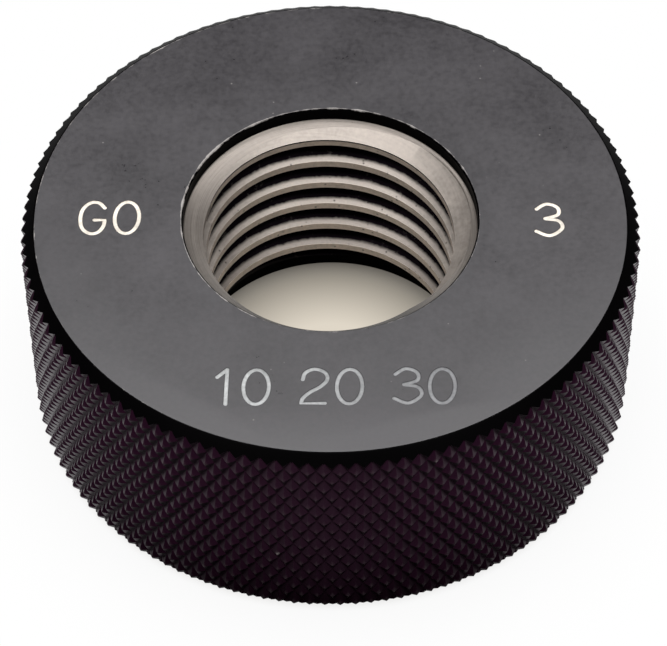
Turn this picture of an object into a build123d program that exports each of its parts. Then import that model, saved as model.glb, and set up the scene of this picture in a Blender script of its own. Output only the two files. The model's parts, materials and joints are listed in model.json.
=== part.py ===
from build123d import *
from build123d.topology import SkipClean
from math import acos, ceil, cos, degrees, pi, radians, sin, sqrt, tan
import os

# Thread ring gauge for an M22 x 2.5 screw: one hardened steel ring, in millimetres.
# The origin is the centre of the lower face, and +Z runs up the thread's axis.

# Ring
outer_diameter = 48.0        # over the crests of the knurled grip
thickness = 18.7             # from face to face
rim_chamfer_width = 1.1      # the bevel between a face and the grip, across the face
rim_chamfer_height = 0.85    # the same bevel, down the grip

# Grip: a knurl of four-sided points, where each row is half a step round from the next.
# It is coarser than a cut knurl, to keep the solid light
knurl_pitch = 2.85           # from tip to tip round a row, to the nearest whole point
knurl_angle = 30.0           # the grooves from the axis, to the nearest whole row
knurl_depth = 0.45           # from the points' tips to the grooves

# Internal thread, 60 degree ISO metric form, right hand
thread_diameter = 22.0       # nominal, which is the grooves' diameter
thread_pitch = 2.5
flank_angle = 30.0           # each flank, from square to the axis
root_clearance = 0.1         # the grooves run this far beyond the nominal radius
groove_angle = -71.0         # where a groove's middle crosses half height, from +X

# Recess at each end, which clears the screw's full diameter
recess_clearance = 0.3       # radial, from the groove bottoms to the recess wall
upper_recess_depth = 1.15
lower_recess_depth = 2.4
mouth_break = 0.12           # small bevel round each recess mouth

# Relief that takes the feather edge off the thread's first ridge at each end
relief_growth = 0.07         # the round cut's radius, over the bore's
relief_offset = 0.8          # the round cut's centre, from the thread's axis

# Worked out from the sizes above
outer_radius = outer_diameter / 2
face_radius = outer_radius - rim_chamfer_width
bevel_slope = rim_chamfer_height / rim_chamfer_width
blank_radius = outer_radius + knurl_depth
blank_bevel = bevel_slope * (blank_radius - face_radius)
thread_height = 5 / 8 * sqrt(3) / 2 * thread_pitch
bore_radius = thread_diameter / 2 - thread_height
root_radius = thread_diameter / 2 + root_clearance
recess_radius = root_radius + recess_clearance
knurl_root = outer_radius - knurl_depth
knurl_end = bevel_slope * (knurl_root - face_radius)
knurl_steps = 2 * round(2 * pi * knurl_root / knurl_pitch)
knurl_step = 2 * pi / knurl_steps
knurl_length = thickness - 2 * knurl_end
knurl_rows = round(knurl_length * tan(radians(knurl_angle)) / (knurl_root * knurl_step))
knurl_rise = knurl_length / knurl_rows
crest_width = thread_pitch / 4
half_groove = (thread_pitch - crest_width) / 2
upper_floor = thickness - upper_recess_depth
lower_floor = lower_recess_depth
middle = thickness / 2
relief_radius = bore_radius + relief_growth
relief_lead = degrees(acos(-relief_growth / relief_offset))


def groove_half_width(radius):
    """Half the groove's width at a radius, measured along the axis."""
    return half_groove - (radius - bore_radius) * tan(radians(flank_angle))


def knurl_corner(step, row):
    """A point's tip, or a crossing of two grooves: they take turns each way."""
    radius = outer_radius if (step + row) % 2 == 0 else knurl_root
    angle = step * knurl_step
    return (radius * cos(angle), radius * sin(angle), knurl_end + row * knurl_rise)


def knurl_flat(*corners):
    """The plane face between some corners of the knurl."""
    return Face(Wire.make_polygon([knurl_corner(*corner) for corner in corners]))


def crest_meets(floor, outwards):
    """The angle at which the first ridge's crest meets a recess floor."""
    rise = floor - middle + outwards * half_groove
    return groove_angle + 360 * rise / thread_pitch


os.makedirs("parts", exist_ok=True)

# A rod with the grip's knurl, a row longer than the grip at each end. Each patch between
# four corners is two triangles that meet along a groove
first_row = -1
last_row = knurl_rows + 1
flats = []
for row in range(first_row, last_row):
    for step in range(knurl_steps):
        patch = [(step, row), (step + 1, row), (step + 1, row + 1), (step, row + 1)]
        if (step + row) % 2:
            patch = patch[1:] + patch[:1]
        tip, right, far_tip, left = patch
        flats += [knurl_flat(tip, right, left), knurl_flat(right, far_tip, left)]
for row in (first_row, last_row):
    flats.append(knurl_flat(*((step, row) for step in range(knurl_steps))))
with BuildPart() as knurled_rod:
    add(Solid(Shell(flats)))

# One turn of the thread's groove, as the solid a tool would sweep out in one pass.
# Its section starts over +X, so its start height sets where the groove crosses
inner_radius = bore_radius - root_clearance
inner_half = groove_half_width(inner_radius)
root_half = groove_half_width(root_radius)
turns_below = ceil(middle / thread_pitch) + 1
groove_start = middle - thread_pitch * (groove_angle / 360 + turns_below)
with BuildPart() as groove_turn:
    with BuildLine() as groove_path:
        Helix(thread_pitch, thread_pitch, bore_radius, center=(0, 0, groove_start))
    with BuildSketch(Plane.XZ):
        with BuildLine():
            Polyline(
                (inner_radius, groove_start - inner_half),
                (root_radius, groove_start - root_half),
                (root_radius, groove_start + root_half),
                (inner_radius, groove_start + inner_half),
                close=True,
            )
        make_face()
    sweep(path=groove_path.line, is_frenet=True)

with BuildPart() as thread_ring:
    # Blank: both faces, rim bevels and the two recesses, with a solid middle. It stands
    # proud of the grip, so that the knurl ends in a saw-toothed edge at each bevel
    with BuildSketch(Plane.XZ):
        with BuildLine():
            Polyline(
                (0, lower_floor),
                (recess_radius, lower_floor),
                (recess_radius, mouth_break),
                (recess_radius + mouth_break, 0),
                (face_radius, 0),
                (blank_radius, blank_bevel),
                (blank_radius, thickness - blank_bevel),
                (face_radius, thickness),
                (recess_radius + mouth_break, thickness),
                (recess_radius, thickness - mouth_break),
                (recess_radius, upper_floor),
                (0, upper_floor),
                close=True,
            )
        make_face()
    revolve(axis=Axis.Z)

    # Bore at the thread's minor diameter, cut in two halves, and then the thread: turn
    # after turn of the groove, from clear below the ring to clear above it. The faces
    # stay as they are cut, because joined ones would wind right round the bore
    with SkipClean():
        for half_start in (0, 180):
            with BuildSketch(Plane.XY):
                with BuildLine():
                    half_wall = CenterArc((0, 0), bore_radius, half_start, 180)
                    Line(half_wall @ 1, half_wall @ 0)
                make_face()
            extrude(amount=thickness, mode=Mode.SUBTRACT)
        with Locations([(0, 0, turn * thread_pitch) for turn in range(2 * turns_below)]):
            add(groove_turn.part, mode=Mode.SUBTRACT)

        # Start reliefs: each is a round cut set off the axis, beginning where the first
        # ridge's crest meets the recess floor, and ending in the open groove behind it
        for floor, outwards, face in ((upper_floor, 1, thickness), (lower_floor, -1, 0)):
            relief_end = floor - outwards * half_groove
            relief_angle = crest_meets(floor, outwards) + outwards * relief_lead
            with BuildSketch(Plane.XY.offset(relief_end)):
                with PolarLocations(relief_offset, 1, start_angle=relief_angle):
                    Circle(relief_radius)
            extrude(amount=face - relief_end, mode=Mode.SUBTRACT)

        # Grip
        add(knurled_rod.part, mode=Mode.INTERSECT)

thread_ring.part.label = "thread_ring"
export_step(thread_ring.part, "parts/thread_ring.step")
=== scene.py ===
import json
from functools import partial
from math import acos, cos, pi, radians, sin, sqrt, tan

import bmesh
import bpy
from bpy.props import FloatProperty, FloatVectorProperty, IntProperty, PointerProperty
from mathutils import Matrix, Vector


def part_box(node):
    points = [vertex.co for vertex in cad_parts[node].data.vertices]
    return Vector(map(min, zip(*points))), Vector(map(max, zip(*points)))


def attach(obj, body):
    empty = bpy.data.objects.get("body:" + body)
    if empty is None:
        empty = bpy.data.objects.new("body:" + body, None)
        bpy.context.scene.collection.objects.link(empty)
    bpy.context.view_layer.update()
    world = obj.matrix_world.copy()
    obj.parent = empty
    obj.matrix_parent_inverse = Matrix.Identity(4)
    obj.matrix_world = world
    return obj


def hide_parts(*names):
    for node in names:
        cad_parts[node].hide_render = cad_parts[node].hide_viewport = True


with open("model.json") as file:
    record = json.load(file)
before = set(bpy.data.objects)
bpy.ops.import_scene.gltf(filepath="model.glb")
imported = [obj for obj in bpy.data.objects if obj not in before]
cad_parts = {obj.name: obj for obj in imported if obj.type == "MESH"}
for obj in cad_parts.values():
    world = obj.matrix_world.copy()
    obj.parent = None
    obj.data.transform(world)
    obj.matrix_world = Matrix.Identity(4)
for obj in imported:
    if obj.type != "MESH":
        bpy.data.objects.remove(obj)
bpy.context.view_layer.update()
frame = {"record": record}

bl_info = {
    "name": "Thread Ring Gauge",
    "version": (1, 0, 0),
    "blender": (4, 5, 0),
    "location": "3D Viewport > Sidebar > Ring Gauge",
    "description": "Turns, knurls, threads, engraves and finishes a solid thread ring gauge",
    "category": "Object",
}

NODE = "thread_ring"
WORKPIECE = "ring_body"
LOW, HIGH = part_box(NODE)
THREAD_MOUNT = next(m for m in frame["record"]["mounts"] if m["name"] == "thread")
MM = 0.001

# The finishes of the ring, in the order of its material slots
FACE, RIM, GRIP, GROUND, THREAD, ENGRAVED = range(6)
FINISH_NAMES = (
    "blackened_face", "blackened_rim", "blackened_grip",
    "ground_floor", "lapped_thread", "engraved_steel",
)

# How much more the edges are worn towards +X and +Y, and less away from them; the extra bare
# steel on that side also serves as painted glints
WEAR_AND_GLINT_SIDE = (-0.14, 0.16, 0.0)


# ---- settings

def length(name, description, millimetres):
    """A length property, given in millimetres and kept in metres."""
    return FloatProperty(name=name, description=description, default=millimetres * MM,
                         min=0.0, unit="LENGTH", precision=6)


def angle(name, description, degrees):
    return FloatProperty(name=name, description=description, default=radians(degrees),
                         subtype="ANGLE")


def colour(name, description, value):
    return FloatVectorProperty(name=name, description=description, default=value,
                               subtype="COLOR", size=3, min=0.0, max=1.0)


def factor(name, description, value, highest=1.0):
    return FloatProperty(name=name, description=description, default=value,
                         min=0.0, max=highest, subtype="FACTOR")


def number(name, description, value):
    return FloatProperty(name=name, description=description, default=value, min=0.0)


def count(name, description, value):
    return IntProperty(name=name, description=description, default=value, min=1)


class RingSizes(bpy.types.PropertyGroup):
    outer_radius: length("Outer radius", "Over the knurl's crests",
                         min(HIGH.x, HIGH.y, -LOW.x, -LOW.y) / MM)
    thickness: length("Thickness", "From face to face", (HIGH.z - LOW.z) / MM)
    chamfer_width: length("Rim chamfer width", "Bevel across each face's rim", 1.1)
    chamfer_height: length("Rim chamfer height", "The same bevel, down the grip", 0.85)
    rim_rounding: length("Rim rounding", "Softened edge between face and bevel", 0.10)
    segments: count("Segments", "Steps round the turned surfaces", 240)


class KnurlSizes(bpy.types.PropertyGroup):
    starts: count("Starts", "Grooves of each hand round the grip", 126)
    helix_angle: angle("Helix angle", "Lean of the grooves from the ring's axis", 30)
    depth: length("Depth", "From the crests to the grooves' bottom", 0.45)
    crown: factor("Crown", "How far the diamonds' tips are rounded off", 0.16)
    variation: factor("Variation", "Random loss of height from diamond to diamond", 0.10)
    seed: count("Seed", "Seed of that variation", 7)


class ThreadSizes(bpy.types.PropertyGroup):
    bore_radius: length("Bore radius", "To the thread's crests", THREAD_MOUNT["dims"]["r_mm"])
    nominal_radius: length("Nominal radius", "Half the thread's nominal diameter", 11.0)
    pitch: length("Pitch", "Rise of the thread in one turn", 2.5)
    flank_angle: angle("Flank angle", "Each flank, from square to the axis", 30)
    root_clearance: length("Root clearance", "Groove depth past the nominal radius", 0.1)
    root_rounding: length("Root rounding", "Radius in the corners of the groove", 0.15)
    groove_angle: angle("Groove angle", "Where a groove crosses half height", -71)
    recess_radius: length("Recess radius", "Wall of the recess at each end", 11.4)
    upper_recess: length("Upper recess", "Depth of the recess in the upper face", 1.15)
    lower_recess: length("Lower recess", "Depth of the recess in the lower face", 2.4)
    mouth_break: length("Mouth break", "Bevel round each recess mouth", 0.12)
    relief_growth: length("Relief growth", "The relief cut's radius over the bore's", 0.07)
    relief_offset: length("Relief offset", "The relief cut's centre from the axis", 0.8)


class EngravingSizes(bpy.types.PropertyGroup):
    height: length("Height", "Height of the figures", 3.25)
    stroke: length("Stroke", "Width of the engraved line", 0.36)
    depth: length("Depth", "Depth of the engraved line", 0.10)
    slant: angle("Slant", "Lean of the figures to the right", 1.5)


class FinishColours(bpy.types.PropertyGroup):
    face: colour("Face", "Blackened, lapped faces", (0.046, 0.042, 0.047))
    rim: colour("Rim", "Blackened bevels and recess walls", (0.0012, 0.0010, 0.0012))
    grip: colour("Grip", "Blackened knurl", (0.0035, 0.0006, 0.0024))
    sheen: colour("Grip sheen", "Tint of the knurl's reflections", (0.85, 0.18, 0.60))
    ground: colour("Ground steel", "Ground floor of each recess", (0.42, 0.373, 0.336))
    # Painted shade: the recess floor's colour, darker at the front, standing in for the shade on
    # its near side
    shadowed: colour("Shadowed ground steel", "The same floor, dull at the front",
                 (0.10, 0.095, 0.09))
    thread: colour("Thread steel", "Lapped flanks", (0.52, 0.462, 0.415))
    # Painted shade: the flank steel made darker low down in the bore
    deep_shade: colour("Deep thread steel", "The same, low down in the bore", (0.34, 0.30, 0.27))
    crest: colour("Thread crests", "Lapped crests, rubbed brighter", (0.90, 0.79, 0.70))
    # Near-black of the blackening left in the groove; it also paints shade: the ridge's shadow on
    # the flank near the root, and the dark rim round the top of the engraved lines
    root: colour("Thread root", "Blackening left in the groove", (0.0035, 0.0012, 0.0034))
    marks: colour("Side marks", "Pale filling of the marks at the sides", (0.95, 0.88, 0.78))
    engraved: colour("Front figures", "The same, at the left of the front figures",
                     (0.52, 0.53, 0.53))
    rubbed: colour("Rubbed figures", "The same, rubbed off, at their right",
                   (0.25, 0.25, 0.26))
    bare: colour("Worn edge", "Steel that shows on rubbed edges", (0.45, 0.42, 0.40))


class StudioSettings(bpy.types.PropertyGroup):
    lens: FloatProperty(name="Lens", description="Focal length on a 36 mm frame",
                        default=171.6, min=1.0, unit="CAMERA")
    camera_back: length("Camera back", "Camera's distance in front of the axis", 163.3)
    camera_up: length("Camera up", "Camera's height over the upper face", 183.3)
    aim_front: length("Aim in front", "Where the camera aims, in front of the axis", 10.68)
    aim_right: length("Aim to the right", "Where the camera aims, right of the axis", 0.19)
    roll: angle("Roll", "Camera's roll", -0.28)
    floor: colour("Floor", "White floor", (1.0, 1.0, 1.0))
    paper: colour("Floor in the bore", "Warmer floor seen through the bore",
                  (0.80, 0.73, 0.62))
    floor_share: factor("Floor share", "How far the floor stays white in a shadow", 0.90)
    clearing: length("Clearing", "Width of the shadow's fading round the ring", 14.0)
    # Painted shade on the floor inside the bore, in its own colour and in its reflections
    bore_shade: factor("Bore shade", "How far the ring shades the floor in its bore", 0.7)
    key: number("Key lamp", "Power of the big lamp overhead, in watts", 3.9)
    key_width: length("Key lamp width", "From left to right", 700)
    key_depth: length("Key lamp depth", "From front to back", 600)
    key_back: length("Key lamp back", "The lamp's distance behind the axis", 40)
    key_up: length("Key lamp up", "The lamp's height over the floor", 500)
    world: number("Surroundings", "Strength of the even light all round", 0.09)


# ---- thread sizes

def crest_width(thread):
    """The flat of an ISO metric thread's crest in a bore."""
    return thread.pitch / 4


def half_groove(thread):
    """Half the groove's width at the crests, along the axis."""
    return (thread.pitch - crest_width(thread)) / 2


def crest_meets(ring, thread, floor, outwards):
    """The angle at which the first ridge's crest meets a recess floor: outwards is 1 for
    the upper floor and -1 for the lower one."""
    rise = floor - ring.thickness / 2 + outwards * half_groove(thread)
    return thread.groove_angle + 2 * pi * rise / thread.pitch


# ---- mesh tools

def put(name, data):
    """A new object in the scene that carries a mesh, a lamp or a camera."""
    piece = bpy.data.objects.new(name, data)
    bpy.context.scene.collection.objects.link(piece)
    return piece


def discard(piece):
    """Removes an object and its mesh."""
    mesh = piece.data
    bpy.data.objects.remove(piece)
    bpy.data.meshes.remove(mesh)


def settle(piece):
    """Puts an object's evaluated mesh in place of its own and drops its modifiers."""
    before = piece.data
    graph = bpy.context.evaluated_depsgraph_get()
    after = bpy.data.meshes.new_from_object(piece.evaluated_get(graph), depsgraph=graph)
    piece.modifiers.clear()
    piece.data = after
    bpy.data.meshes.remove(before)


def machine(piece, tool, operation):
    """Cuts a tool's solid out of a piece, or joins the two, and uses the tool up."""
    cut = piece.modifiers.new("machine", "BOOLEAN")
    cut.operation = operation
    cut.solver = "MANIFOLD"
    cut.material_mode = "INDEX"
    cut.object = tool
    settle(piece)
    discard(tool)


def lathe(name, outline, segments):
    """Revolves an open outline of (radius, height, finish) into a closed solid: the
    finish of a point is that of the surface that starts there, and flat ends close it."""
    mesh = bmesh.new()
    turns = [2 * pi * k / segments for k in range(segments)]
    rings = [[mesh.verts.new((radius * cos(t), radius * sin(t), height)) for t in turns]
             for radius, height, _ in outline]
    for lower, upper, (_, _, finish) in zip(rings, rings[1:], outline):
        for k in range(segments):
            n = (k + 1) % segments
            mesh.faces.new((lower[k], lower[n], upper[n], upper[k])).material_index = finish
    mesh.faces.new(rings[0][::-1]).material_index = outline[0][2]
    mesh.faces.new(rings[-1]).material_index = outline[-1][2]
    return finished(name, mesh)


def finished(name, mesh):
    """Turns a bmesh into an object with its faces pointing outwards and its finishes."""
    bmesh.ops.recalc_face_normals(mesh, faces=mesh.faces)
    data = bpy.data.meshes.new(name)
    mesh.to_mesh(data)
    mesh.free()
    for material_name in FINISH_NAMES:
        data.materials.append(bpy.data.materials[material_name])
    return put(name, data)


def turned_over(section, thickness):
    """A section of the lower face as it is at the upper one, with each finish kept on its
    own surface."""
    finishes = [finish for _, _, finish in section]
    starts = [finishes[0], *finishes[:-1]]
    return [(radius, thickness - height, finish)
            for (radius, height, _), finish in zip(section, starts)][::-1]


def arc(centre, radii, start, end, steps):
    """Points on an ellipse, from one angle to another, in degrees."""
    for k in range(steps + 1):
        t = radians(start + (end - start) * k / steps)
        yield centre[0] + radii[0] * cos(t), centre[1] + radii[1] * sin(t)


# ---- node tools

class Tree:
    """A node tree under construction, with short ways to add nodes and links."""

    def __init__(self, tree):
        self.tree = tree

    def feed(self, socket, value):
        """Gives a socket its value, or links it to the socket that the value comes from."""
        if isinstance(value, bpy.types.NodeSocket):
            self.tree.links.new(value, socket)
        else:
            socket.default_value = value

    def node(self, kind, settings=None, **inputs):
        """A new node with its settings, and its inputs by name."""
        made = self.tree.nodes.new(kind)
        for name, value in (settings or {}).items():
            setattr(made, name, value)
        for name, value in inputs.items():
            self.feed(made.inputs[name.replace("_", " ")], value)
        return made

    def filled(self, kind, values, settings=None):
        """A new node with its inputs in order."""
        made = self.node(kind, settings)
        for socket, value in zip(made.inputs, values):
            self.feed(socket, value)
        return made

    def make(self, kind, settings=None, **inputs):
        """The first output of such a node."""
        return self.node(kind, settings, **inputs).outputs[0]

    def vector(self, operation, *values):
        made = self.filled("ShaderNodeVectorMath", values, {"operation": operation})
        return made.outputs["Value" if operation in ("LENGTH", "DOT_PRODUCT") else "Vector"]

    def combine(self, *values):
        return self.filled("ShaderNodeCombineXYZ", values).outputs[0]


def math(operation, *values):
    """The result of a new Math node, in the tree that its sockets belong to."""
    tree = next(value.id_data for value in values if isinstance(value, bpy.types.NodeSocket))
    return Tree(tree).filled("ShaderNodeMath", values, {"operation": operation}).outputs[0]


plus, minus, times = (partial(math, name) for name in ("ADD", "SUBTRACT", "MULTIPLY"))


def less(value):
    """What a value leaves of 1."""
    return minus(1.0, value)


class Group(Tree):
    """A node group under construction. An input is named with its default value, or with
    its kind of socket. The outputs of a shader group are values."""

    KINDS = {int: "Int", float: "Float", tuple: "Vector"}

    def __init__(self, name, inputs, outputs=()):
        super().__init__(bpy.data.node_groups.new(
            name, "ShaderNodeTree" if outputs else "GeometryNodeTree"))
        for title, value in inputs.items():
            kind = self.KINDS.get(type(value), value)
            socket = self.socket(title, "INPUT", kind)
            if kind != value:
                socket.default_value = value
        for title in outputs:
            self.socket(title, "OUTPUT", "Float")
        if not outputs:
            self.socket("Geometry", "OUTPUT", "Geometry")
        self.given = self.tree.nodes.new("NodeGroupInput").outputs
        self.result = self.tree.nodes.new("NodeGroupOutput").inputs

    def socket(self, title, side, kind):
        """A new named socket on one side of the group."""
        return self.tree.interface.new_socket(title, in_out=side, socket_type="NodeSocket" + kind)

    def give(self, **results):
        """Links the group's outputs to their results."""
        for title, value in results.items():
            self.feed(self.result[title], value)

    def give_solid(self, geometry):
        """Ends a geometry group: plain geometry in the given finish."""
        real = self.make("GeometryNodeRealizeInstances", Geometry=geometry)
        self.give(Geometry=self.make("GeometryNodeSetMaterial", Geometry=real,
                                     Material=self.given["Finish"]))
        return self.tree


def run_nodes(name, tree, finish, values, start=None):
    """A closed solid in one finish, made by a Geometry Nodes tree as a plain mesh."""
    piece = put(name, start or bpy.data.meshes.new(name))
    modifier = piece.modifiers.new(name, "NODES")
    modifier.node_group = tree
    values = {**values, "Finish": bpy.data.materials[FINISH_NAMES[finish]]}
    for socket in tree.interface.items_tree:
        if socket.in_out == "INPUT" and socket.name in values:
            modifier[socket.identifier] = values[socket.name]
    settle(piece)
    solid = bmesh.new()
    solid.from_mesh(piece.data)
    discard(piece)
    open_edges = [edge for edge in solid.edges if edge.is_boundary]
    bmesh.ops.holes_fill(solid, edges=open_edges, sides=0)
    for face in solid.faces:
        face.material_index = finish
    return finished(name, solid)


# ---- knurl and thread trees

def knurl_tree():
    """Diamond teeth set round and up the grip, with both hands of groove between them."""
    group = Group("Knurled Grip", {
        "Starts": 126, "Rows": 20, "Crest Radius": 0.024, "Depth": 0.00045,
        "Row Height": 0.001, "Crown": 0.15, "Variation": 0.1, "Seed": 1,
        "Finish": "Material",
    })
    given = group.given
    weld = 0.04 * MM

    # A tooth: a four-sided cone without its base, whose straight sides are rounded
    # towards the tip by a hyperbola
    cone = group.node("GeometryNodeMeshCone", {"fill_type": "NGON"}, Vertices=4,
                      Side_Segments=4, Radius_Top=0.05, Radius_Bottom=1.0, Depth=1.0)
    open_cone = group.make("GeometryNodeDeleteGeometry", {"domain": "FACE"},
                           Geometry=cone.outputs["Mesh"], Selection=cone.outputs["Bottom"])
    place = group.node("ShaderNodeSeparateXYZ",
                       Vector=group.make("GeometryNodeInputPosition"))
    out = plus(math("ABSOLUTE", place.outputs["X"]), math("ABSOLUTE", place.outputs["Y"]))
    crown = given["Crown"]
    crown_squared = times(crown, crown)
    highest = plus(1.0, crown)
    round_off = math("SQRT", plus(times(out, out), crown_squared))
    foot = minus(highest, math("SQRT", plus(1.0, crown_squared)))
    rise = math("DIVIDE", minus(minus(highest, round_off), foot), less(foot))
    tooth = group.make("GeometryNodeSetPosition", Geometry=open_cone,
                       Position=group.combine(place.outputs["X"], place.outputs["Y"], rise))

    # Its places: rows up the grip, each turned by half a tooth from the one below
    starts = given["Starts"]
    index = group.make("GeometryNodeInputIndex")
    row = math("FLOOR", math("DIVIDE", plus(index, 0.5), starts))
    step = minus(index, times(row, starts))
    turn = times(plus(step, times(row, 0.5)), math("DIVIDE", 2 * pi, starts))
    foot_radius = minus(given["Crest Radius"], given["Depth"])
    height = times(minus(row, 1.0), given["Row Height"])
    seat = group.combine(times(foot_radius, math("COSINE", turn)),
                         times(foot_radius, math("SINE", turn)), height)
    points = group.make("GeometryNodePoints", Count=times(starts, given["Rows"]), Position=seat)

    stand = group.make("FunctionNodeEulerToRotation",
                       Euler=group.combine(pi / 2, 0.0, plus(turn, pi / 2)))
    half_tooth = times(foot_radius, math("TANGENT", math("DIVIDE", pi, starts)))
    loss = group.node("FunctionNodeRandomValue", {"data_type": "FLOAT"}, Seed=given["Seed"])
    kept = less(times(given["Variation"], loss.outputs[1]))
    teeth = group.make("GeometryNodeInstanceOnPoints", Points=points, Instance=tooth,
                       Rotation=stand,
                       Scale=group.combine(half_tooth, given["Row Height"],
                                           times(given["Depth"], kept)))
    grip = group.make("GeometryNodeRealizeInstances", Geometry=teeth)
    welded = group.make("GeometryNodeMergeByDistance", Geometry=grip, Distance=weld)
    return group.give_solid(welded)


def thread_tree():
    """The thread's groove as a solid: a filleted trapezoid swept up a helix."""
    group = Group("Thread Groove", {
        "Bore Radius": 0.0096, "Root Radius": 0.0111, "Pitch": 0.0025, "Turns": 10,
        "Flank Slope": 0.577, "Crest Width": 0.0006, "Overcut": 0.0004,
        "Root Rounding": 0.00015, "Start Turn": 0.0, "Start Height": 0.0, "Steps": 240,
        "Finish": "Material",
    })
    given = group.given
    overcut, slope = given["Overcut"], given["Flank Slope"]
    groove_depth = minus(given["Root Radius"], given["Bore Radius"])
    mouth = minus(given["Pitch"], given["Crest Width"])
    inner = plus(mouth, times(2.0, times(overcut, slope)))
    root = minus(mouth, times(2.0, times(groove_depth, slope)))
    tall = plus(groove_depth, overcut)
    section = group.make("GeometryNodeCurvePrimitiveQuadrilateral", {"mode": "TRAPEZOID"},
                         Bottom_Width=inner, Top_Width=root, Height=tall, Offset=0.0)
    lift = minus(times(0.5, tall), overcut)
    placed = group.make("GeometryNodeTransform", Geometry=section,
                        Translation=group.combine(0.0, lift, 0.0))
    turned = group.make("GeometryNodeTransform", Geometry=placed, Rotation=(0.0, 0.0, -pi / 2))
    rounded = group.make("GeometryNodeFilletCurve", {"mode": "POLY"}, Curve=turned,
                         Count=3, Radius=given["Root Rounding"])

    helix = group.make("GeometryNodeCurveSpiral", Resolution=given["Steps"],
                       Rotations=given["Turns"], Start_Radius=given["Bore Radius"],
                       End_Radius=given["Bore Radius"], Reverse=True,
                       Height=times(given["Turns"], given["Pitch"]))
    upright = group.make("GeometryNodeSetCurveNormal", {"mode": "Z_UP"}, Curve=helix)
    swept = group.make("GeometryNodeCurveToMesh", Curve=upright,
                       Profile_Curve=rounded, Fill_Caps=True)
    seated = group.make("GeometryNodeTransform", Geometry=swept,
                        Translation=group.combine(0.0, 0.0, given["Start Height"]),
                        Rotation=group.combine(0.0, 0.0, given["Start Turn"]))
    return group.give_solid(seated)


# ---- figures

def smooth(points, steps=6):
    """A curve through a few points, by the Catmull-Rom formula."""
    ends = [points[0], *points, points[-1]]
    path = []
    for before, start, stop, after in zip(ends, ends[1:], ends[2:], ends[3:]):
        for k in range(steps):
            t = k / steps
            path.append(tuple(
                0.5 * (2 * b + (c - a) * t + (2 * a - 5 * b + 4 * c - d) * t * t
                       + (3 * b - a - 3 * c + d) * t ** 3)
                for a, b, c, d in zip(before, start, stop, after)
            ))
    path.append(points[-1])
    return path


def figure_strokes():
    """The engraver's strokes for each figure, in a cell one unit high."""
    return {
        "1": ([(0.12, 0.78), (0.33, 0.99)], [(0.34, 1.0), (0.34, 0.0)]),
        "2": (smooth([(0.04, 0.70), (0.10, 0.90), (0.31, 1.0), (0.54, 0.90), (0.60, 0.70),
                      (0.46, 0.50), (0.22, 0.33), (0.06, 0.16), (0.02, 0.01)]),
              [(0.02, 0.01), (0.56, 0.01)]),
        "3": (smooth([(0.04, 0.84), (0.27, 1.0), (0.53, 0.89), (0.54, 0.66), (0.24, 0.54)]),
              smooth([(0.25, 0.53), (0.56, 0.46), (0.63, 0.22), (0.34, 0.0), (0.02, 0.14)])),
        "G": (smooth([(0.58, 0.80), (0.44, 0.96), (0.24, 0.97), (0.07, 0.78), (0.02, 0.48),
                      (0.08, 0.17), (0.26, 0.0), (0.46, 0.03), (0.58, 0.22), (0.60, 0.42)]),
              [(0.60, 0.42), (0.36, 0.42)]),
        "O": (list(arc((0.31, 0.49), (0.29, 0.50), 0, 360, 28)),),
    }


def stroke_tree():
    """Round bars with ball ends along every stroke, joined into one clean solid."""
    group = Group("Engraved Strokes", {"Geometry": "Geometry", "Radius": 0.0002, "Sides": 12,
                                       "Finish": "Material"})
    given = group.given
    path = group.make("GeometryNodeMeshToCurve", Mesh=given["Geometry"])
    round_section = group.make("GeometryNodeCurvePrimitiveCircle", Resolution=given["Sides"],
                               Radius=given["Radius"])
    bars = group.node("GeometryNodeCurveToMesh", Curve=path, Profile_Curve=round_section,
                      Fill_Caps=True)
    ball = group.make("GeometryNodeMeshUVSphere", Segments=given["Sides"], Rings=8,
                      Radius=given["Radius"])
    ends = group.make("GeometryNodeCurveEndpointSelection", Start_Size=1, End_Size=1)
    balls = group.make("GeometryNodeInstanceOnPoints", Points=path, Selection=ends, Instance=ball)
    whole = group.node("GeometryNodeRealizeInstances", Geometry=balls)
    solid = group.node("GeometryNodeMeshBoolean", {"operation": "UNION", "solver": "EXACT"},
                       Self_Intersection=True)
    for part in (bars, whole):
        group.feed(solid.inputs["Mesh 2"], part.outputs[0])
    return group.give_solid(solid.outputs[0])


# ---- finishes

def wear_group():
    """Bare metal where an edge has been rubbed, broken up so that it comes and goes."""
    group = Group("Edge Wear", {
        "Radius": 0.0, "Height": 0.0, "Edge Radius": 0.01, "Edge Height": 0.0,
        "Reach": 0.0002, "Vector": (0, 0, 0), "Breakup Scale": 600.0, "Coverage": 0.4,
        "Worn Side": (0, 0, 0),
    }, ("Mask",))
    given = group.given
    off = group.combine(minus(given["Radius"], given["Edge Radius"]),
                        minus(given["Height"], given["Edge Height"]), 0.0)
    near = less(math("DIVIDE", group.vector("LENGTH", off), given["Reach"]))
    noise = group.node("ShaderNodeTexNoise", Vector=given["Vector"],
                       Scale=given["Breakup Scale"], Detail=3.0, Roughness=0.6)
    outwards = group.vector("NORMALIZE", group.vector("MULTIPLY", given["Vector"], (1, 1, 0)))
    # Leaning the mask to one side gives more bare steel there: partly wear, partly painted glints
    facing = group.vector("DOT_PRODUCT", outwards, given["Worn Side"])
    noise_swing = 1.8
    broken = times(minus(noise.outputs["Fac"], 0.5), noise_swing)
    level = plus(plus(near, broken), minus(plus(given["Coverage"], facing), 0.5))
    sharp = group.make("ShaderNodeMapRange", {"interpolation_type": "SMOOTHSTEP"}, Value=level,
                       From_Min=0.35, From_Max=0.75)
    group.give(Mask=times(sharp, math("GREATER_THAN", near, 0.0)))


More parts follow.
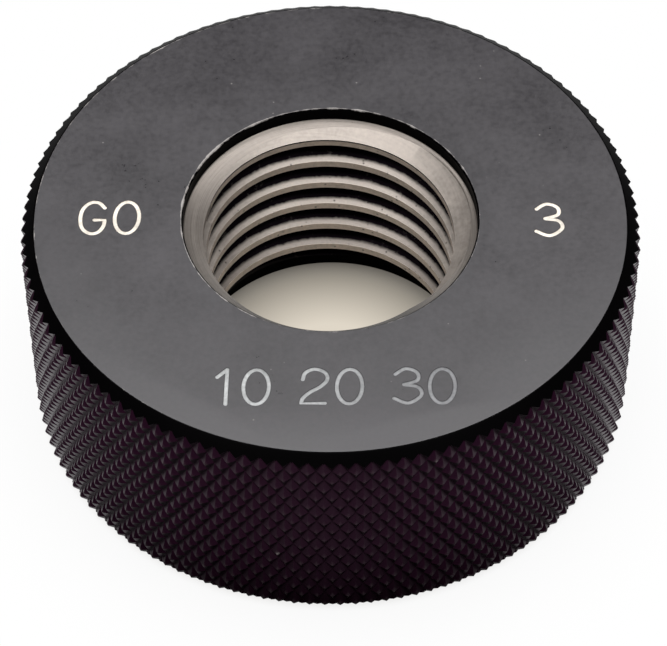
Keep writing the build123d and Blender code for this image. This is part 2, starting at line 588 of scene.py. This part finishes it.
def mottle_group():
    """The cloudy shade of blackened or ground steel, and the small light specks on it."""
    group = Group("Steel Mottle", {
        "Vector": (0, 0, 0), "Cloud Scale": 180.0, "Cloud Amount": 0.1,
        "Grain Scale": 2500.0, "Grain Amount": 0.1, "Speck Scale": 900.0, "Speck Size": 0.1,
    }, ("Shade", "Specks"))
    given = group.given
    plain_share = 0.86  # of the cells hold no speck

    def swing(scale, amount, detail):
        noise = group.node("ShaderNodeTexNoise", Vector=given["Vector"], Scale=scale,
                           Detail=detail, Roughness=0.55)
        return times(minus(noise.outputs["Fac"], 0.5), times(2.0, amount))

    clouds = swing(given["Cloud Scale"], given["Cloud Amount"], 4.0)
    grain = swing(given["Grain Scale"], given["Grain Amount"], 2.0)
    shade = plus(1.0, plus(clouds, grain))
    cells = group.node("ShaderNodeTexVoronoi", Vector=given["Vector"],
                       Scale=given["Speck Scale"], Randomness=1.0)
    draw = group.make("ShaderNodeSeparateColor", Color=cells.outputs["Color"])
    picked = math("GREATER_THAN", draw, plain_share)
    inside = group.make("ShaderNodeMapRange", {"interpolation_type": "SMOOTHSTEP"},
                        Value=cells.outputs["Distance"], From_Min=0.0,
                        From_Max=given["Speck Size"], To_Min=1.0, To_Max=0.0)
    group.give(Shade=shade, Specks=times(picked, inside))


def flank_group():
    """The thread's first flank, ground with the recess floor that it breaks through: all
    that lies over the helix of the first ridge's crest, which ends at the floor. The lip
    is the narrow band right under that helix."""
    group = Group("First Flank", {
        "Vector": (0, 0, 0), "Pitch": 0.0025, "Floor": 0.017, "Start": 0.0,
        "Lip Width": 0.0001,
    }, ("Mask", "Lip"))
    given = group.given
    place = group.node("ShaderNodeSeparateXYZ", Vector=given["Vector"])
    turn = math("ARCTAN2", place.outputs["Y"], place.outputs["X"])
    since = math("FRACT", math("DIVIDE", minus(turn, given["Start"]), 2 * pi))
    edge = minus(given["Floor"], times(given["Pitch"], less(since)))
    over = math("GREATER_THAN", place.outputs["Z"], edge)
    near = math("GREATER_THAN", place.outputs["Z"], minus(edge, given["Lip Width"]))
    group.give(Mask=over, Lip=minus(near, over))


def lines_group():
    """Fine tool marks that run round the axis, as a value that changes with the radius."""
    group = Group("Turning Lines", {
        "Radius": 0.0, "Height": 0.0, "Vector": (0, 0, 0), "Spacing": 0.0001, "Drift": 60.0,
    }, ("Lines",))
    given = group.given
    moved = group.node("ShaderNodeVectorMath", {"operation": "SCALE"},
                       Vector=given["Vector"], Scale=given["Drift"])
    drift = group.node("ShaderNodeSeparateXYZ", Vector=moved.outputs["Vector"])
    across = math("DIVIDE", minus(given["Radius"], given["Height"]), given["Spacing"])
    noise = group.node("ShaderNodeTexNoise", Scale=1.0, Detail=2.0, Roughness=0.7,
                       Vector=group.combine(across, drift.outputs["X"], drift.outputs["Y"]))
    group.give(Lines=noise.outputs["Fac"])


class Finish(Tree):
    """A material under construction: its shader, and the ring's own coordinates."""

    def __init__(self, name, roughness, metallic=0.0, specular=0.5):
        self.material = bpy.data.materials.new(name)
        self.material.use_nodes = True
        super().__init__(self.material.node_tree)
        self.shader = self.tree.nodes["Principled BSDF"]
        self.roughness = roughness
        self.surface("Roughness", roughness)
        self.surface("Metallic", metallic)
        self.surface("Specular IOR Level", specular)
        self.place = self.node("ShaderNodeTexCoord").outputs["Object"]
        parts = self.node("ShaderNodeSeparateXYZ", Vector=self.place)
        self.across, self.along, self.height = parts.outputs
        self.radius = self.vector("LENGTH", self.combine(self.across, self.along, 0.0))

    def surface(self, name, value):
        """Sets or links one of the shader's sockets."""
        self.feed(self.shader.inputs[name], value)

    def group(self, name, **inputs):
        """The outputs of a shared group, fed with the ring's coordinates where it asks."""
        made = self.node("ShaderNodeGroup", {"node_tree": bpy.data.node_groups[name]}, **inputs)
        for socket, value in (("Vector", self.place), ("Radius", self.radius),
                              ("Height", self.height)):
            if socket in made.inputs:
                self.feed(made.inputs[socket], value)
        return made.outputs

    def span(self, value, low, high):
        """0 where a value is at or under low, 1 at high or over, straight between."""
        return self.make("ShaderNodeMapRange", Value=value, From_Min=low, From_Max=high)

    def mix(self, share, first, second, blend="MIX"):
        """A colour between two others; its node keeps its colours at sockets 6 and 7."""
        made = self.node("ShaderNodeMix", {"data_type": "RGBA", "blend_type": blend})
        self.feed(made.inputs[0], share)
        for socket, value in ((made.inputs[6], first), (made.inputs[7], second)):
            linked = isinstance(value, bpy.types.NodeSocket)
            self.feed(socket, value if linked else (*value, 1.0))
        return made.outputs[2]

    def tint(self, base, shade):
        """A colour made lighter or darker by a shade that swings about 1."""
        return self.mix(1.0, base, self.combine(shade, shade, shade), blend="MULTIPLY")

    def rough(self, shade):
        """Makes the roughness swing with a shade."""
        self.surface("Roughness", times(shade, self.roughness))

    def brush(self, amount):
        """Stretches reflections across marks that run round the axis."""
        quarter_turn = 0.25
        self.surface("Anisotropic", amount)
        self.surface("Anisotropic Rotation", quarter_turn)
        round_axis = self.make("ShaderNodeTangent", {"direction_type": "RADIAL", "axis": "Z"})
        self.surface("Tangent", round_axis)

    def bump(self, height, distance, strength=1.0):
        self.surface("Normal", self.make("ShaderNodeBump", Height=height, Distance=distance,
                                         Strength=strength))

    def wear(self, base, bare, **edge):
        """A colour with bare steel on a rubbed edge."""
        # More bare steel on the worn side also serves as painted glints
        worn = self.group("Edge Wear", Breakup_Scale=900.0, Worn_Side=WEAR_AND_GLINT_SIDE, **edge)
        return self.mix(worn["Mask"], base, bare)


def blackened_face(colours, ring, thread):
    finish = Finish("blackened_face", roughness=0.36, specular=0.82)
    mottle = finish.group("Steel Mottle", Cloud_Scale=160.0, Cloud_Amount=0.34,
                          Grain_Scale=2600.0, Grain_Amount=0.34, Speck_Scale=900.0,
                          Speck_Size=0.10)
    base = finish.tint(colours.face, mottle["Shade"])
    mouth = thread.recess_radius + thread.mouth_break
    rim = ring.outer_radius - ring.chamfer_width
    for edge, reach, coverage in ((mouth, 0.22 * MM, 0.12), (rim, 0.25 * MM, 0.0)):
        base = finish.wear(base, colours.bare, Edge_Radius=edge, Edge_Height=ring.thickness,
                           Reach=reach, Coverage=coverage)
    specks = times(mottle["Specks"], 0.5)
    finish.surface("Base Color", finish.mix(specks, base, colours.bare))
    finish.rough(mottle["Shade"])
    finish.bump(mottle["Shade"], 0.004 * MM, 0.6)


def blackened_rim(colours, ring, thread):
    finish = Finish("blackened_rim", roughness=0.34, specular=0.015)
    mottle = finish.group("Steel Mottle", Cloud_Scale=300.0, Cloud_Amount=0.3)
    lines = finish.group("Turning Lines", Spacing=0.07 * MM, Drift=80.0)
    mouth = thread.recess_radius + thread.mouth_break / 2
    base = finish.wear(finish.tint(colours.rim, mottle["Shade"]), colours.bare,
                       Edge_Radius=mouth, Edge_Height=ring.thickness, Reach=0.16 * MM,
                       Coverage=0.08)
    finish.surface("Base Color", base)
    finish.bump(lines["Lines"], 0.006 * MM, 0.5)


def blackened_grip(colours, ring):
    finish = Finish("blackened_grip", roughness=0.32, specular=0.20)
    finish.surface("Specular Tint", (*colours.sheen, 1.0))
    mottle = finish.group("Steel Mottle", Cloud_Scale=220.0, Cloud_Amount=0.35,
                          Grain_Scale=3200.0, Grain_Amount=0.25, Speck_Scale=500.0,
                          Speck_Size=0.16)
    crest = finish.span(finish.radius, ring.outer_radius - 0.16 * MM, ring.outer_radius)
    rubbed = times(times(crest, mottle["Shade"]), 0.05)
    # Painted glints: light specks of bare steel on the crests, over the rubbed crests' wear
    glints = times(times(mottle["Specks"], crest), 0.5)
    base = finish.mix(rubbed, finish.tint(colours.grip, mottle["Shade"]), colours.bare)
    finish.surface("Base Color", finish.mix(glints, base, colours.bare))
    finish.rough(mottle["Shade"])


def ground_floor(colours):
    finish = Finish("ground_floor", roughness=0.36, metallic=0.85)
    finish.brush(0.9)
    mottle = finish.group("Steel Mottle", Cloud_Scale=260.0, Cloud_Amount=0.08)
    lines = finish.group("Turning Lines", Spacing=0.05 * MM, Drift=120.0)
    shade = plus(mottle["Shade"], minus(lines["Lines"], 0.5))
    # Painted shade: the floor's colour darkens towards the front (-Y)
    ground = finish.mix(finish.span(finish.along, -9.0 * MM, -1.0 * MM),
                        colours.shadowed, colours.ground)
    finish.surface("Base Color", finish.tint(ground, shade))
    finish.rough(shade)
    finish.bump(lines["Lines"], 0.008 * MM, 0.5)


def lapped_thread(colours, ring, thread):
    finish = Finish("lapped_thread", roughness=0.42, metallic=0.6, specular=0.1)
    bore = thread.bore_radius
    mottle = finish.group("Steel Mottle", Cloud_Scale=420.0, Cloud_Amount=0.28,
                          Grain_Scale=2600.0, Grain_Amount=0.24, Speck_Scale=2600.0,
                          Speck_Size=0.38)
    lines = finish.group("Turning Lines", Spacing=0.06 * MM, Drift=90.0)
    shade = plus(mottle["Shade"], times(minus(lines["Lines"], 0.5), 0.35))

    # Steel on the crests and the flanks, and a black root with an uneven border: blackening left
    # in the groove, widened into painted shadow over the flank near the root
    # Painted shade: the flanks darken towards the lower end of the bore, from 10 mm down to 4 mm
    flank = finish.mix(finish.span(finish.height, 4.0 * MM, 10.0 * MM),
                       colours.deep_shade, colours.thread)
    off_crest = finish.span(finish.radius, bore + 0.002 * MM, bore + 0.012 * MM)
    steel = finish.tint(finish.mix(off_crest, colours.crest, flank), shade)
    # Painted shadow: the black reaches out over the flank near the root, where the ridge above
    # shades it
    depth = finish.span(finish.radius, bore + 0.24 * MM, bore + 0.54 * MM)
    uneven = times(minus(mottle["Shade"], 1.0), 1.15)
    black = finish.span(plus(depth, uneven), 0.1, 0.9)
    base = finish.mix(black, steel, colours.root)
    pits = times(mottle["Specks"], 0.8)
    base = finish.mix(pits, base, colours.root)

    # The first flank is bright as the recess floor is, over a black lip
    floor = ring.thickness - thread.upper_recess
    first = finish.group("First Flank", Pitch=thread.pitch, Floor=floor,
                         Start=crest_meets(ring, thread, floor, 1), Lip_Width=0.13 * MM)
    base = finish.mix(first["Lip"], base, colours.root)
    base = finish.mix(first["Mask"], base, finish.tint(colours.ground, shade))
    finish.surface("Base Color", base)
    finish.rough(shade)
    finish.bump(lines["Lines"], 0.006 * MM, 0.4)


def engraved_steel(colours, ring):
    finish = Finish("engraved_steel", roughness=0.6)
    mottle = finish.group("Steel Mottle", Cloud_Scale=700.0, Cloud_Amount=0.50,
                          Grain_Scale=3000.0, Grain_Amount=0.35)
    # The front figures are rubbed thin towards their right, and the side marks are not
    rubbed = finish.span(finish.across, -9.0 * MM, 9.0 * MM)
    front = finish.mix(rubbed, colours.engraved, colours.rubbed)
    aside = finish.span(math("ABSOLUTE", finish.across), 11.0 * MM, 13.0 * MM)
    filling = finish.tint(finish.mix(aside, front, colours.marks), mottle["Shade"])
    # Painted shade: a near-black rim round the top of every engraved line, just under the face
    lip = finish.span(finish.height, ring.thickness - 0.04 * MM, ring.thickness - 0.015 * MM)
    finish.surface("Base Color", finish.mix(lip, filling, colours.root))
    finish.bump(mottle["Shade"], 0.01 * MM, 0.6)


def floor_paper(studio, ring, thread):
    """Pale paper that stays white for the camera, but holds a faint shadow round the ring.
    Under the bore it is warmer, and bright only in the middle. What the ring mirrors of it
    is dark where the ring shades it: in front of its foot and in the bore."""
    paper = Finish("floor_paper", roughness=0.9, specular=0.0)
    bore = thread.bore_radius
    rays = paper.node("ShaderNodeLightPath").outputs

    outside = paper.span(paper.radius, bore, ring.outer_radius)
    inside = less(outside)
    tone = paper.mix(outside, studio.paper, studio.floor)
    # Painted light and shade in the bore: the paper glows for the camera only in the bore's
    # middle
    middle = less(paper.span(paper.radius, 0.50 * bore, 1.30 * bore))
    lit = math("MAXIMUM", outside, middle)
    clear = paper.span(paper.radius, ring.outer_radius, ring.outer_radius + studio.clearing)
    held = plus(studio.floor_share, times(clear, 1.0 - studio.floor_share))

    # Painted shadow in reflections: what the ring mirrors of the floor is darkened in front of
    # its foot and, by the bore shade, in the bore; the bore shade also darkens the paper's own
    # colour there
    near_foot = less(paper.span(paper.radius, ring.outer_radius,
                                ring.outer_radius + 3 * studio.clearing))
    in_front = paper.span(times(paper.along, -1.0), 6.0 * MM, ring.outer_radius)
    bore_shade = times(inside, studio.bore_shade)
    shaded = math("MAXIMUM", times(in_front, near_foot), bore_shade)
    kept = less(times(rays["Is Glossy Ray"], shaded))
    own = paper.tint(tone, times(kept, less(bore_shade)))
    paper.surface("Base Color", own)

    seen = plus(times(rays["Is Camera Ray"], held), times(rays["Is Glossy Ray"], less(shaded)))
    glow = paper.make("ShaderNodeEmission", Color=tone, Strength=1.0)
    blend = paper.filled("ShaderNodeMixShader", (times(seen, lit), paper.shader.outputs[0], glow))
    output = paper.tree.nodes["Material Output"]
    paper.feed(output.inputs["Surface"], blend.outputs[0])
    return paper.material


# ---- operators

class GAUGE_OT_mix_finishes(bpy.types.Operator):
    """Make the ring's blackened, ground, lapped and engraved steel finishes"""

    bl_idname = "gauge.mix_finishes"
    bl_label = "Mix Finishes"

    def execute(self, context):
        scene = context.scene
        colours, ring, thread = scene.gauge_finish, scene.gauge_ring, scene.gauge_thread
        for make_group in (wear_group, mottle_group, lines_group, flank_group):
            make_group()
        blackened_face(colours, ring, thread)
        blackened_rim(colours, ring, thread)
        blackened_grip(colours, ring)
        ground_floor(colours)
        lapped_thread(colours, ring, thread)
        engraved_steel(colours, ring)
        return {"FINISHED"}


class GAUGE_OT_turn_blank(bpy.types.Operator):
    """Turn the ring's blank: two flat faces and their bevels, over a rod for the grip"""

    bl_idname = "gauge.turn_blank"
    bl_label = "Turn Blank"

    def execute(self, context):
        ring = context.scene.gauge_ring
        rim = self.rim_section(ring)
        lathe(WORKPIECE, rim + turned_over(rim, ring.thickness), ring.segments)
        return {"FINISHED"}

    def rim_section(self, ring):
        """The lower rim, from the face outwards, run on past the grip's crests."""
        width, height, soft = ring.chamfer_width, ring.chamfer_height, ring.rim_rounding
        face_radius = ring.outer_radius - width
        reach = ring.outer_radius + 0.2 * MM
        slant = sqrt(width * width + height * height)
        corner = ((face_radius - soft, 0.0), (face_radius, 0.0),
                  (face_radius + soft * width / slant, soft * height / slant))
        steps = 4
        section = []
        for k in range(steps + 1):
            t = k / steps
            radius, low = ((1 - t) ** 2 * a + 2 * t * (1 - t) * b + t * t * c
                           for a, b, c in zip(*corner))
            section.append((radius, low, RIM if k else FACE))
        section.append((reach, height * (reach - face_radius) / width, RIM))
        return section


class GAUGE_OT_knurl_grip(bpy.types.Operator):
    """Knurl the grip: the blank keeps only what lies within the knurled rod"""

    bl_idname = "gauge.knurl_grip"
    bl_label = "Knurl Grip"

    def execute(self, context):
        ring, knurl = context.scene.gauge_ring, context.scene.gauge_knurl
        tooth_width = 2 * pi * (ring.outer_radius - knurl.depth) / knurl.starts
        row_height = tooth_width / 2 / tan(knurl.helix_angle)
        spare_rows = 4
        rod = run_nodes("knurled_rod", knurl_tree(), GRIP, {
            "Starts": knurl.starts,
            "Rows": int(ring.thickness / row_height) + spare_rows,
            "Crest Radius": ring.outer_radius,
            "Depth": knurl.depth,
            "Row Height": row_height,
            "Crown": knurl.crown,
            "Variation": knurl.variation,
            "Seed": knurl.seed,
        })
        machine(bpy.data.objects[WORKPIECE], rod, "INTERSECT")
        return {"FINISHED"}


class GAUGE_OT_cut_thread(bpy.types.Operator):
    """Bore the ring, recess both ends, cut the thread and relieve its first ridges"""

    bl_idname = "gauge.cut_thread"
    bl_label = "Cut Thread"

    def execute(self, context):
        ring, thread = context.scene.gauge_ring, context.scene.gauge_thread
        piece = bpy.data.objects[WORKPIECE]
        for tools in (self.bore, self.groove, self.reliefs):
            for tool in tools(ring, thread):
                machine(piece, tool, "DIFFERENCE")
        return {"FINISHED"}

    def bore(self, ring, thread):
        """The bore with its recesses, run on past both faces."""
        spare, corner = 1.0 * MM, 0.14 * MM
        radius, lip = thread.recess_radius, thread.mouth_break

        def end(floor):
            corners = arc((radius - corner, floor - corner), (corner, corner), 30, 90, 2)
            return [(radius + lip + spare, -spare, RIM), (radius, lip, RIM),
                    (radius, floor - corner, RIM), *((r, h, GROUND) for r, h in corners),
                    (thread.bore_radius, floor, THREAD)]

        upper = turned_over(end(thread.upper_recess), ring.thickness)
        yield lathe("bore_tool", end(thread.lower_recess) + upper, ring.segments)

    def groove(self, ring, thread):
        """The thread's groove, run on past both faces."""
        half_turns = int(ring.thickness / 2 / thread.pitch) + 2
        yield run_nodes("thread_tool", thread_tree(), THREAD, {
            "Bore Radius": thread.bore_radius,
            "Root Radius": thread.nominal_radius + thread.root_clearance,
            "Pitch": thread.pitch,
            "Turns": 2 * half_turns,
            "Flank Slope": tan(thread.flank_angle),
            "Crest Width": crest_width(thread),
            "Overcut": 0.4 * MM,
            "Root Rounding": thread.root_rounding,
            "Start Turn": thread.groove_angle,
            "Start Height": ring.thickness / 2 - half_turns * thread.pitch,
            "Steps": ring.segments,
        })

    def reliefs(self, ring, thread):
        """Off-centre round cuts that take the feather edge off each first ridge."""
        lead = acos(-thread.relief_growth / thread.relief_offset)
        radius = thread.bore_radius + thread.relief_growth
        spare = thread.upper_recess / 2
        for floor, outwards in ((ring.thickness - thread.upper_recess, 1),
                                (thread.lower_recess, -1)):
            turn = crest_meets(ring, thread, floor, outwards) + outwards * lead
            low, high = sorted((floor - outwards * half_groove(thread), floor + outwards * spare))
            tool = lathe("relief_tool", [(radius, low, THREAD), (radius, high, THREAD)],
                         ring.segments)
            shift = thread.relief_offset * Vector((cos(turn), sin(turn), 0))
            tool.data.transform(Matrix.Translation(shift))
            yield tool


class GAUGE_OT_engrave_face(bpy.types.Operator):
    """Engrave plain figures in the upper face"""

    bl_idname = "gauge.engrave_face"
    bl_label = "Engrave Face"

    # What is cut: the figure, and the lower left corner of its cell in millimetres
    WORDS = (
        ("1", -8.9, -18.35), ("O", -6.6, -18.35), ("2", -2.3, -18.35), ("O", 0.3, -18.35),
        ("3", 4.55, -18.35), ("O", 7.15, -18.35),
        ("G", -19.4, -1.55), ("O", -16.75, -1.55), ("3", 15.75, -2.05),
    )

    def execute(self, context):
        ring, cut = context.scene.gauge_ring, context.scene.gauge_engraving
        radius = (cut.stroke ** 2 / 4 + cut.depth ** 2) / (2 * cut.depth)
        height = ring.thickness + radius - cut.depth
        tool = run_nodes("engraving_tool", stroke_tree(), ENGRAVED,
                         {"Radius": radius, "Sides": 12}, self.paths(cut, height))
        machine(bpy.data.objects[WORKPIECE], tool, "DIFFERENCE")
        return {"FINISHED"}

    def paths(self, cut, height):
        """Where the middle of the cutter runs, as edges without faces."""
        paths = bmesh.new()
        figures = figure_strokes()
        for figure, left, foot in self.WORDS:
            for stroke in figures[figure]:
                points = [
                    paths.verts.new((left * MM + cut.height * (x + y * tan(cut.slant)),
                                     foot * MM + cut.height * y, height))
                    for x, y in stroke
                ]
                for start, stop in zip(points, points[1:]):
                    paths.edges.new((start, stop))
        bmesh.ops.remove_doubles(paths, verts=paths.verts, dist=0.001 * MM)
        mesh = bpy.data.meshes.new("stroke_paths")
        paths.to_mesh(mesh)
        paths.free()
        return mesh


class GAUGE_OT_dress_ring(bpy.types.Operator):
    """Set the ring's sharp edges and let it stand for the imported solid"""

    bl_idname = "gauge.dress_ring"
    bl_label = "Dress Ring"

    def execute(self, context):
        piece = bpy.data.objects[WORKPIECE]
        shortest_edge, sharp_from = 0.0005 * MM, radians(28)
        shape = bmesh.new()
        shape.from_mesh(piece.data)
        bmesh.ops.dissolve_degenerate(shape, edges=shape.edges, dist=shortest_edge)
        shape.to_mesh(piece.data)
        shape.free()
        piece.data.shade_smooth()
        piece.data.set_sharp_from_angle(angle=sharp_from)
        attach(piece, "root")
        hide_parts(NODE)
        return {"FINISHED"}


class GAUGE_OT_set_stage(bpy.types.Operator):
    """Lay the pale floor and set the lamp and the camera"""

    bl_idname = "gauge.set_stage"
    bl_label = "Set Stage"

    def execute(self, context):
        scene = context.scene
        self.lay_floor(scene.gauge_studio, scene.gauge_ring, scene.gauge_thread)
        self.light(scene, scene.gauge_studio)
        self.aim_camera(scene, scene.gauge_studio, scene.gauge_ring)
        scene.view_settings.view_transform = "Standard"
        return {"FINISHED"}

    def lay_floor(self, studio, ring, thread):
        half = 1500 * MM
        mesh = bpy.data.meshes.new("floor")
        corners = [(-half, -half, 0), (half, -half, 0), (half, half, 0), (-half, half, 0)]
        mesh.from_pydata(corners, [], [(0, 1, 2, 3)])
        mesh.materials.append(floor_paper(studio, ring, thread))
        put("floor", mesh)

    def light(self, scene, studio):
        """One big lamp that shines straight down, and an even light all round."""
        data = bpy.data.lights.new("key_lamp", "AREA")
        data.shape = "RECTANGLE"
        data.size, data.size_y = studio.key_width, studio.key_depth
        data.energy = studio.key
        put("key_lamp", data).location = (0, studio.key_back, studio.key_up)
        scene.world = bpy.data.worlds.new("surroundings")
        scene.world.use_nodes = True
        sky = scene.world.node_tree.nodes["Background"]
        sky.inputs["Color"].default_value = (1, 1, 1, 1)
        sky.inputs["Strength"].default_value = studio.world

    def aim_camera(self, scene, studio, ring):
        data = bpy.data.cameras.new("camera")
        data.sensor_width = 36.0
        data.lens = studio.lens
        data.clip_start, data.clip_end = 0.01, 10.0
        eye = Vector((0, -studio.camera_back, ring.thickness + studio.camera_up))
        target = Vector((studio.aim_right, -studio.aim_front, ring.thickness))
        look = (target - eye).to_track_quat("-Z", "Y").to_matrix()
        scene.camera = put("camera", data)
        scene.camera.matrix_world = (
            Matrix.Translation(eye) @ (look @ Matrix.Rotation(studio.roll, 3, "Z")).to_4x4())


class GAUGE_PT_panel(bpy.types.Panel):
    """The gauge's making, step by step, with its sizes and colours"""

    bl_idname = "GAUGE_PT_panel"
    bl_label = "Ring Gauge"
    bl_space_type = "VIEW_3D"
    bl_region_type = "UI"
    bl_category = "Ring Gauge"

    def draw(self, context):
        layout = self.layout
        for group, step in STEPS:
            box = layout.box()
            settings = getattr(context.scene, group)
            for name in settings.__annotations__:
                box.prop(settings, name)
            box.operator(step.bl_idname)


SETTINGS = {
    "gauge_finish": FinishColours, "gauge_ring": RingSizes, "gauge_knurl": KnurlSizes,
    "gauge_thread": ThreadSizes, "gauge_engraving": EngravingSizes,
    "gauge_studio": StudioSettings,
}
STEPS = (
    ("gauge_finish", GAUGE_OT_mix_finishes), ("gauge_ring", GAUGE_OT_turn_blank),
    ("gauge_knurl", GAUGE_OT_knurl_grip), ("gauge_thread", GAUGE_OT_cut_thread),
    ("gauge_engraving", GAUGE_OT_engrave_face), ("gauge_ring", GAUGE_OT_dress_ring),
    ("gauge_studio", GAUGE_OT_set_stage),
)
CLASSES = (*SETTINGS.values(), *(step for _, step in STEPS), GAUGE_PT_panel)


def register():
    for kind in CLASSES:
        bpy.utils.register_class(kind)
    for name, kind in SETTINGS.items():
        setattr(bpy.types.Scene, name, PointerProperty(type=kind))


def unregister():
    for name in SETTINGS:
        delattr(bpy.types.Scene, name)
    for kind in reversed(CLASSES):
        bpy.utils.unregister_class(kind)


def main():
    register()
    bpy.ops.gauge.mix_finishes()
    bpy.ops.gauge.turn_blank()
    bpy.ops.gauge.knurl_grip()
    bpy.ops.gauge.cut_thread()
    bpy.ops.gauge.engrave_face()
    bpy.ops.gauge.dress_ring()
    bpy.ops.gauge.set_stage()


if __name__ == "__main__":
    main()
